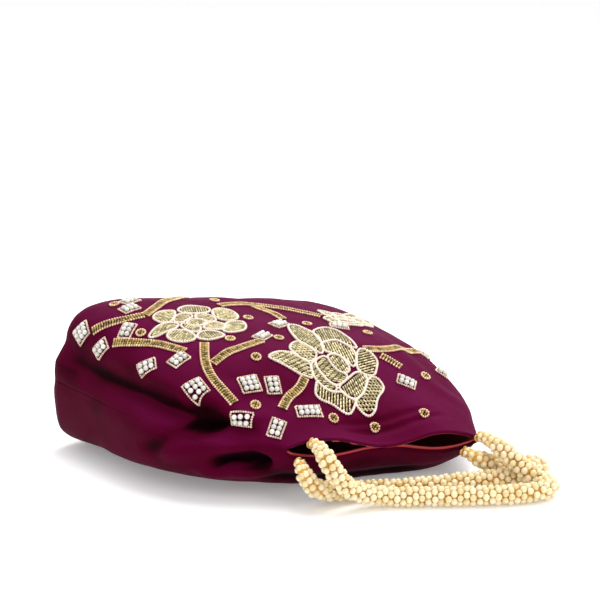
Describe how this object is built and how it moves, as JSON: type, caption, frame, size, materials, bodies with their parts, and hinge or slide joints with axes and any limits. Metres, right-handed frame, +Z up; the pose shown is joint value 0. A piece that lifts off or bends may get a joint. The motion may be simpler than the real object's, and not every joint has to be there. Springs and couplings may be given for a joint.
{
  "type": "potli bag",
  "caption": "Small velvet handbag lying full on its back, its front embroidered with pearl and gold bead flowers, with a lined open mouth and pearl rope handles.",
  "frame": {"origin": "under the middle of the bag without its handle ropes, on the surface it lies on", "axes": "+Z up through the embroidered front, -Y out of the mouth, +X to the right of a person who looks into the mouth"},
  "size_m": [0.2036, 0.2411, 0.0899],
  "materials": {
    "velvet": "plum velvet with a purple sheen",
    "satin": "red satin",
    "pearl": "cream imitation pearl",
    "gold_beads": "antique gold cut beads",
    "gold_thread": "yellow silk thread"
  },
  "bodies": {
    "root": {"front_panel": "velvet", "back_panel": "velvet", "lining": "satin", "front_flower": "gold_beads", "back_flower": "gold_beads", "crest_flower": "gold_beads", "left_stem": "gold_beads", "front_stem": "gold_beads", "front_stem_branch": "gold_beads", "base_left_stem": "gold_beads", "base_stem": "gold_beads", "crest_vine": "gold_beads", "crest_vine_branch": "gold_beads", "mouth_stem": "gold_beads", "right_stem": "gold_beads", "right_stem_branch": "gold_beads", "pearl_cluster_01": "pearl", "pearl_cluster_02": "pearl", "pearl_cluster_03": "pearl", "pearl_cluster_04": "pearl", "pearl_cluster_05": "pearl", "pearl_cluster_06": "pearl", "pearl_cluster_07": "pearl", "pearl_cluster_08": "pearl", "pearl_cluster_09": "pearl", "pearl_cluster_10": "pearl", "pearl_cluster_11": "pearl", "pearl_cluster_12": "pearl", "pearl_cluster_13": "pearl", "pearl_cluster_14": "pearl", "pearl_cluster_15": "pearl", "pearl_cluster_16": "pearl", "pearl_cluster_17": "pearl", "pearl_cluster_18": "pearl", "pearl_cluster_19": "pearl", "gold_rosette_01": "gold_beads", "gold_rosette_02": "gold_beads", "gold_rosette_03": "gold_beads", "gold_rosette_04": "gold_beads", "gold_rosette_05": "gold_beads", "gold_rosette_06": "gold_beads", "gold_rosette_07": "gold_beads", "gold_rosette_08": "gold_beads", "gold_rosette_09": "gold_beads", "gold_rosette_10": "gold_beads", "gold_rosette_11": "gold_beads", "gold_rosette_12": "gold_beads", "gold_rosette_13": "gold_beads", "gold_rosette_14": "gold_beads", "front_left_knot": "gold_thread", "front_right_knot": "gold_thread", "back_left_knot": "gold_thread", "back_right_knot": "gold_thread", "front_handle_rope": "pearl", "back_handle_rope": "pearl"}
  },
  "joints": []
}
